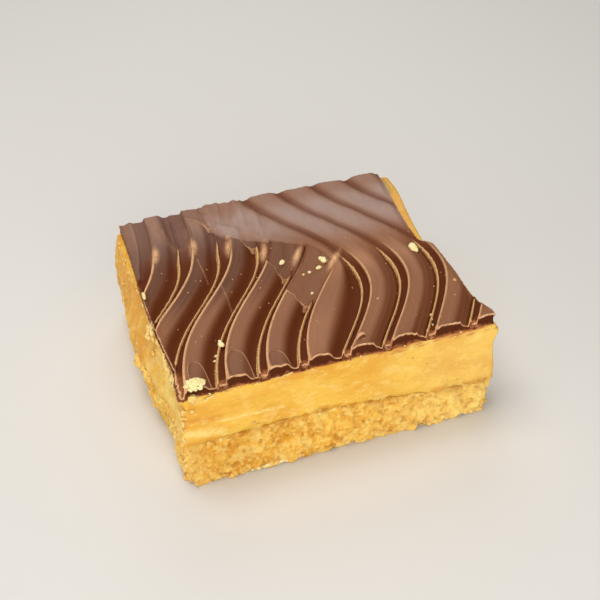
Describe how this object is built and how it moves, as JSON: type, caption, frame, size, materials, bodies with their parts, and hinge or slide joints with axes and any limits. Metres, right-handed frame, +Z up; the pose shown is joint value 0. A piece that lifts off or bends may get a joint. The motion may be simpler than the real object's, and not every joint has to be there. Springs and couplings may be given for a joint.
{
  "type": "caramel slice",
  "caption": "Square-cut layered slice of shortbread base, thick set caramel and a chocolate coat combed into wavy ridges.",
  "frame": {"origin": "centre of the underside, on the surface that the slice lies on", "axes": "+X along the front cut to the right, -Y out of the front cut, +Z up through the layers"},
  "size_m": [0.0743, 0.0652, 0.0258],
  "materials": {
    "biscuit": "dry, crumbly golden shortbread",
    "caramel": "soft satin, slightly see-through set caramel",
    "chocolate": "satin chocolate with pale scuffed ridge edges"
  },
  "bodies": {
    "root": {"biscuit_base": "biscuit", "caramel": "caramel", "chocolate_top": "chocolate"}
  },
  "joints": []
}
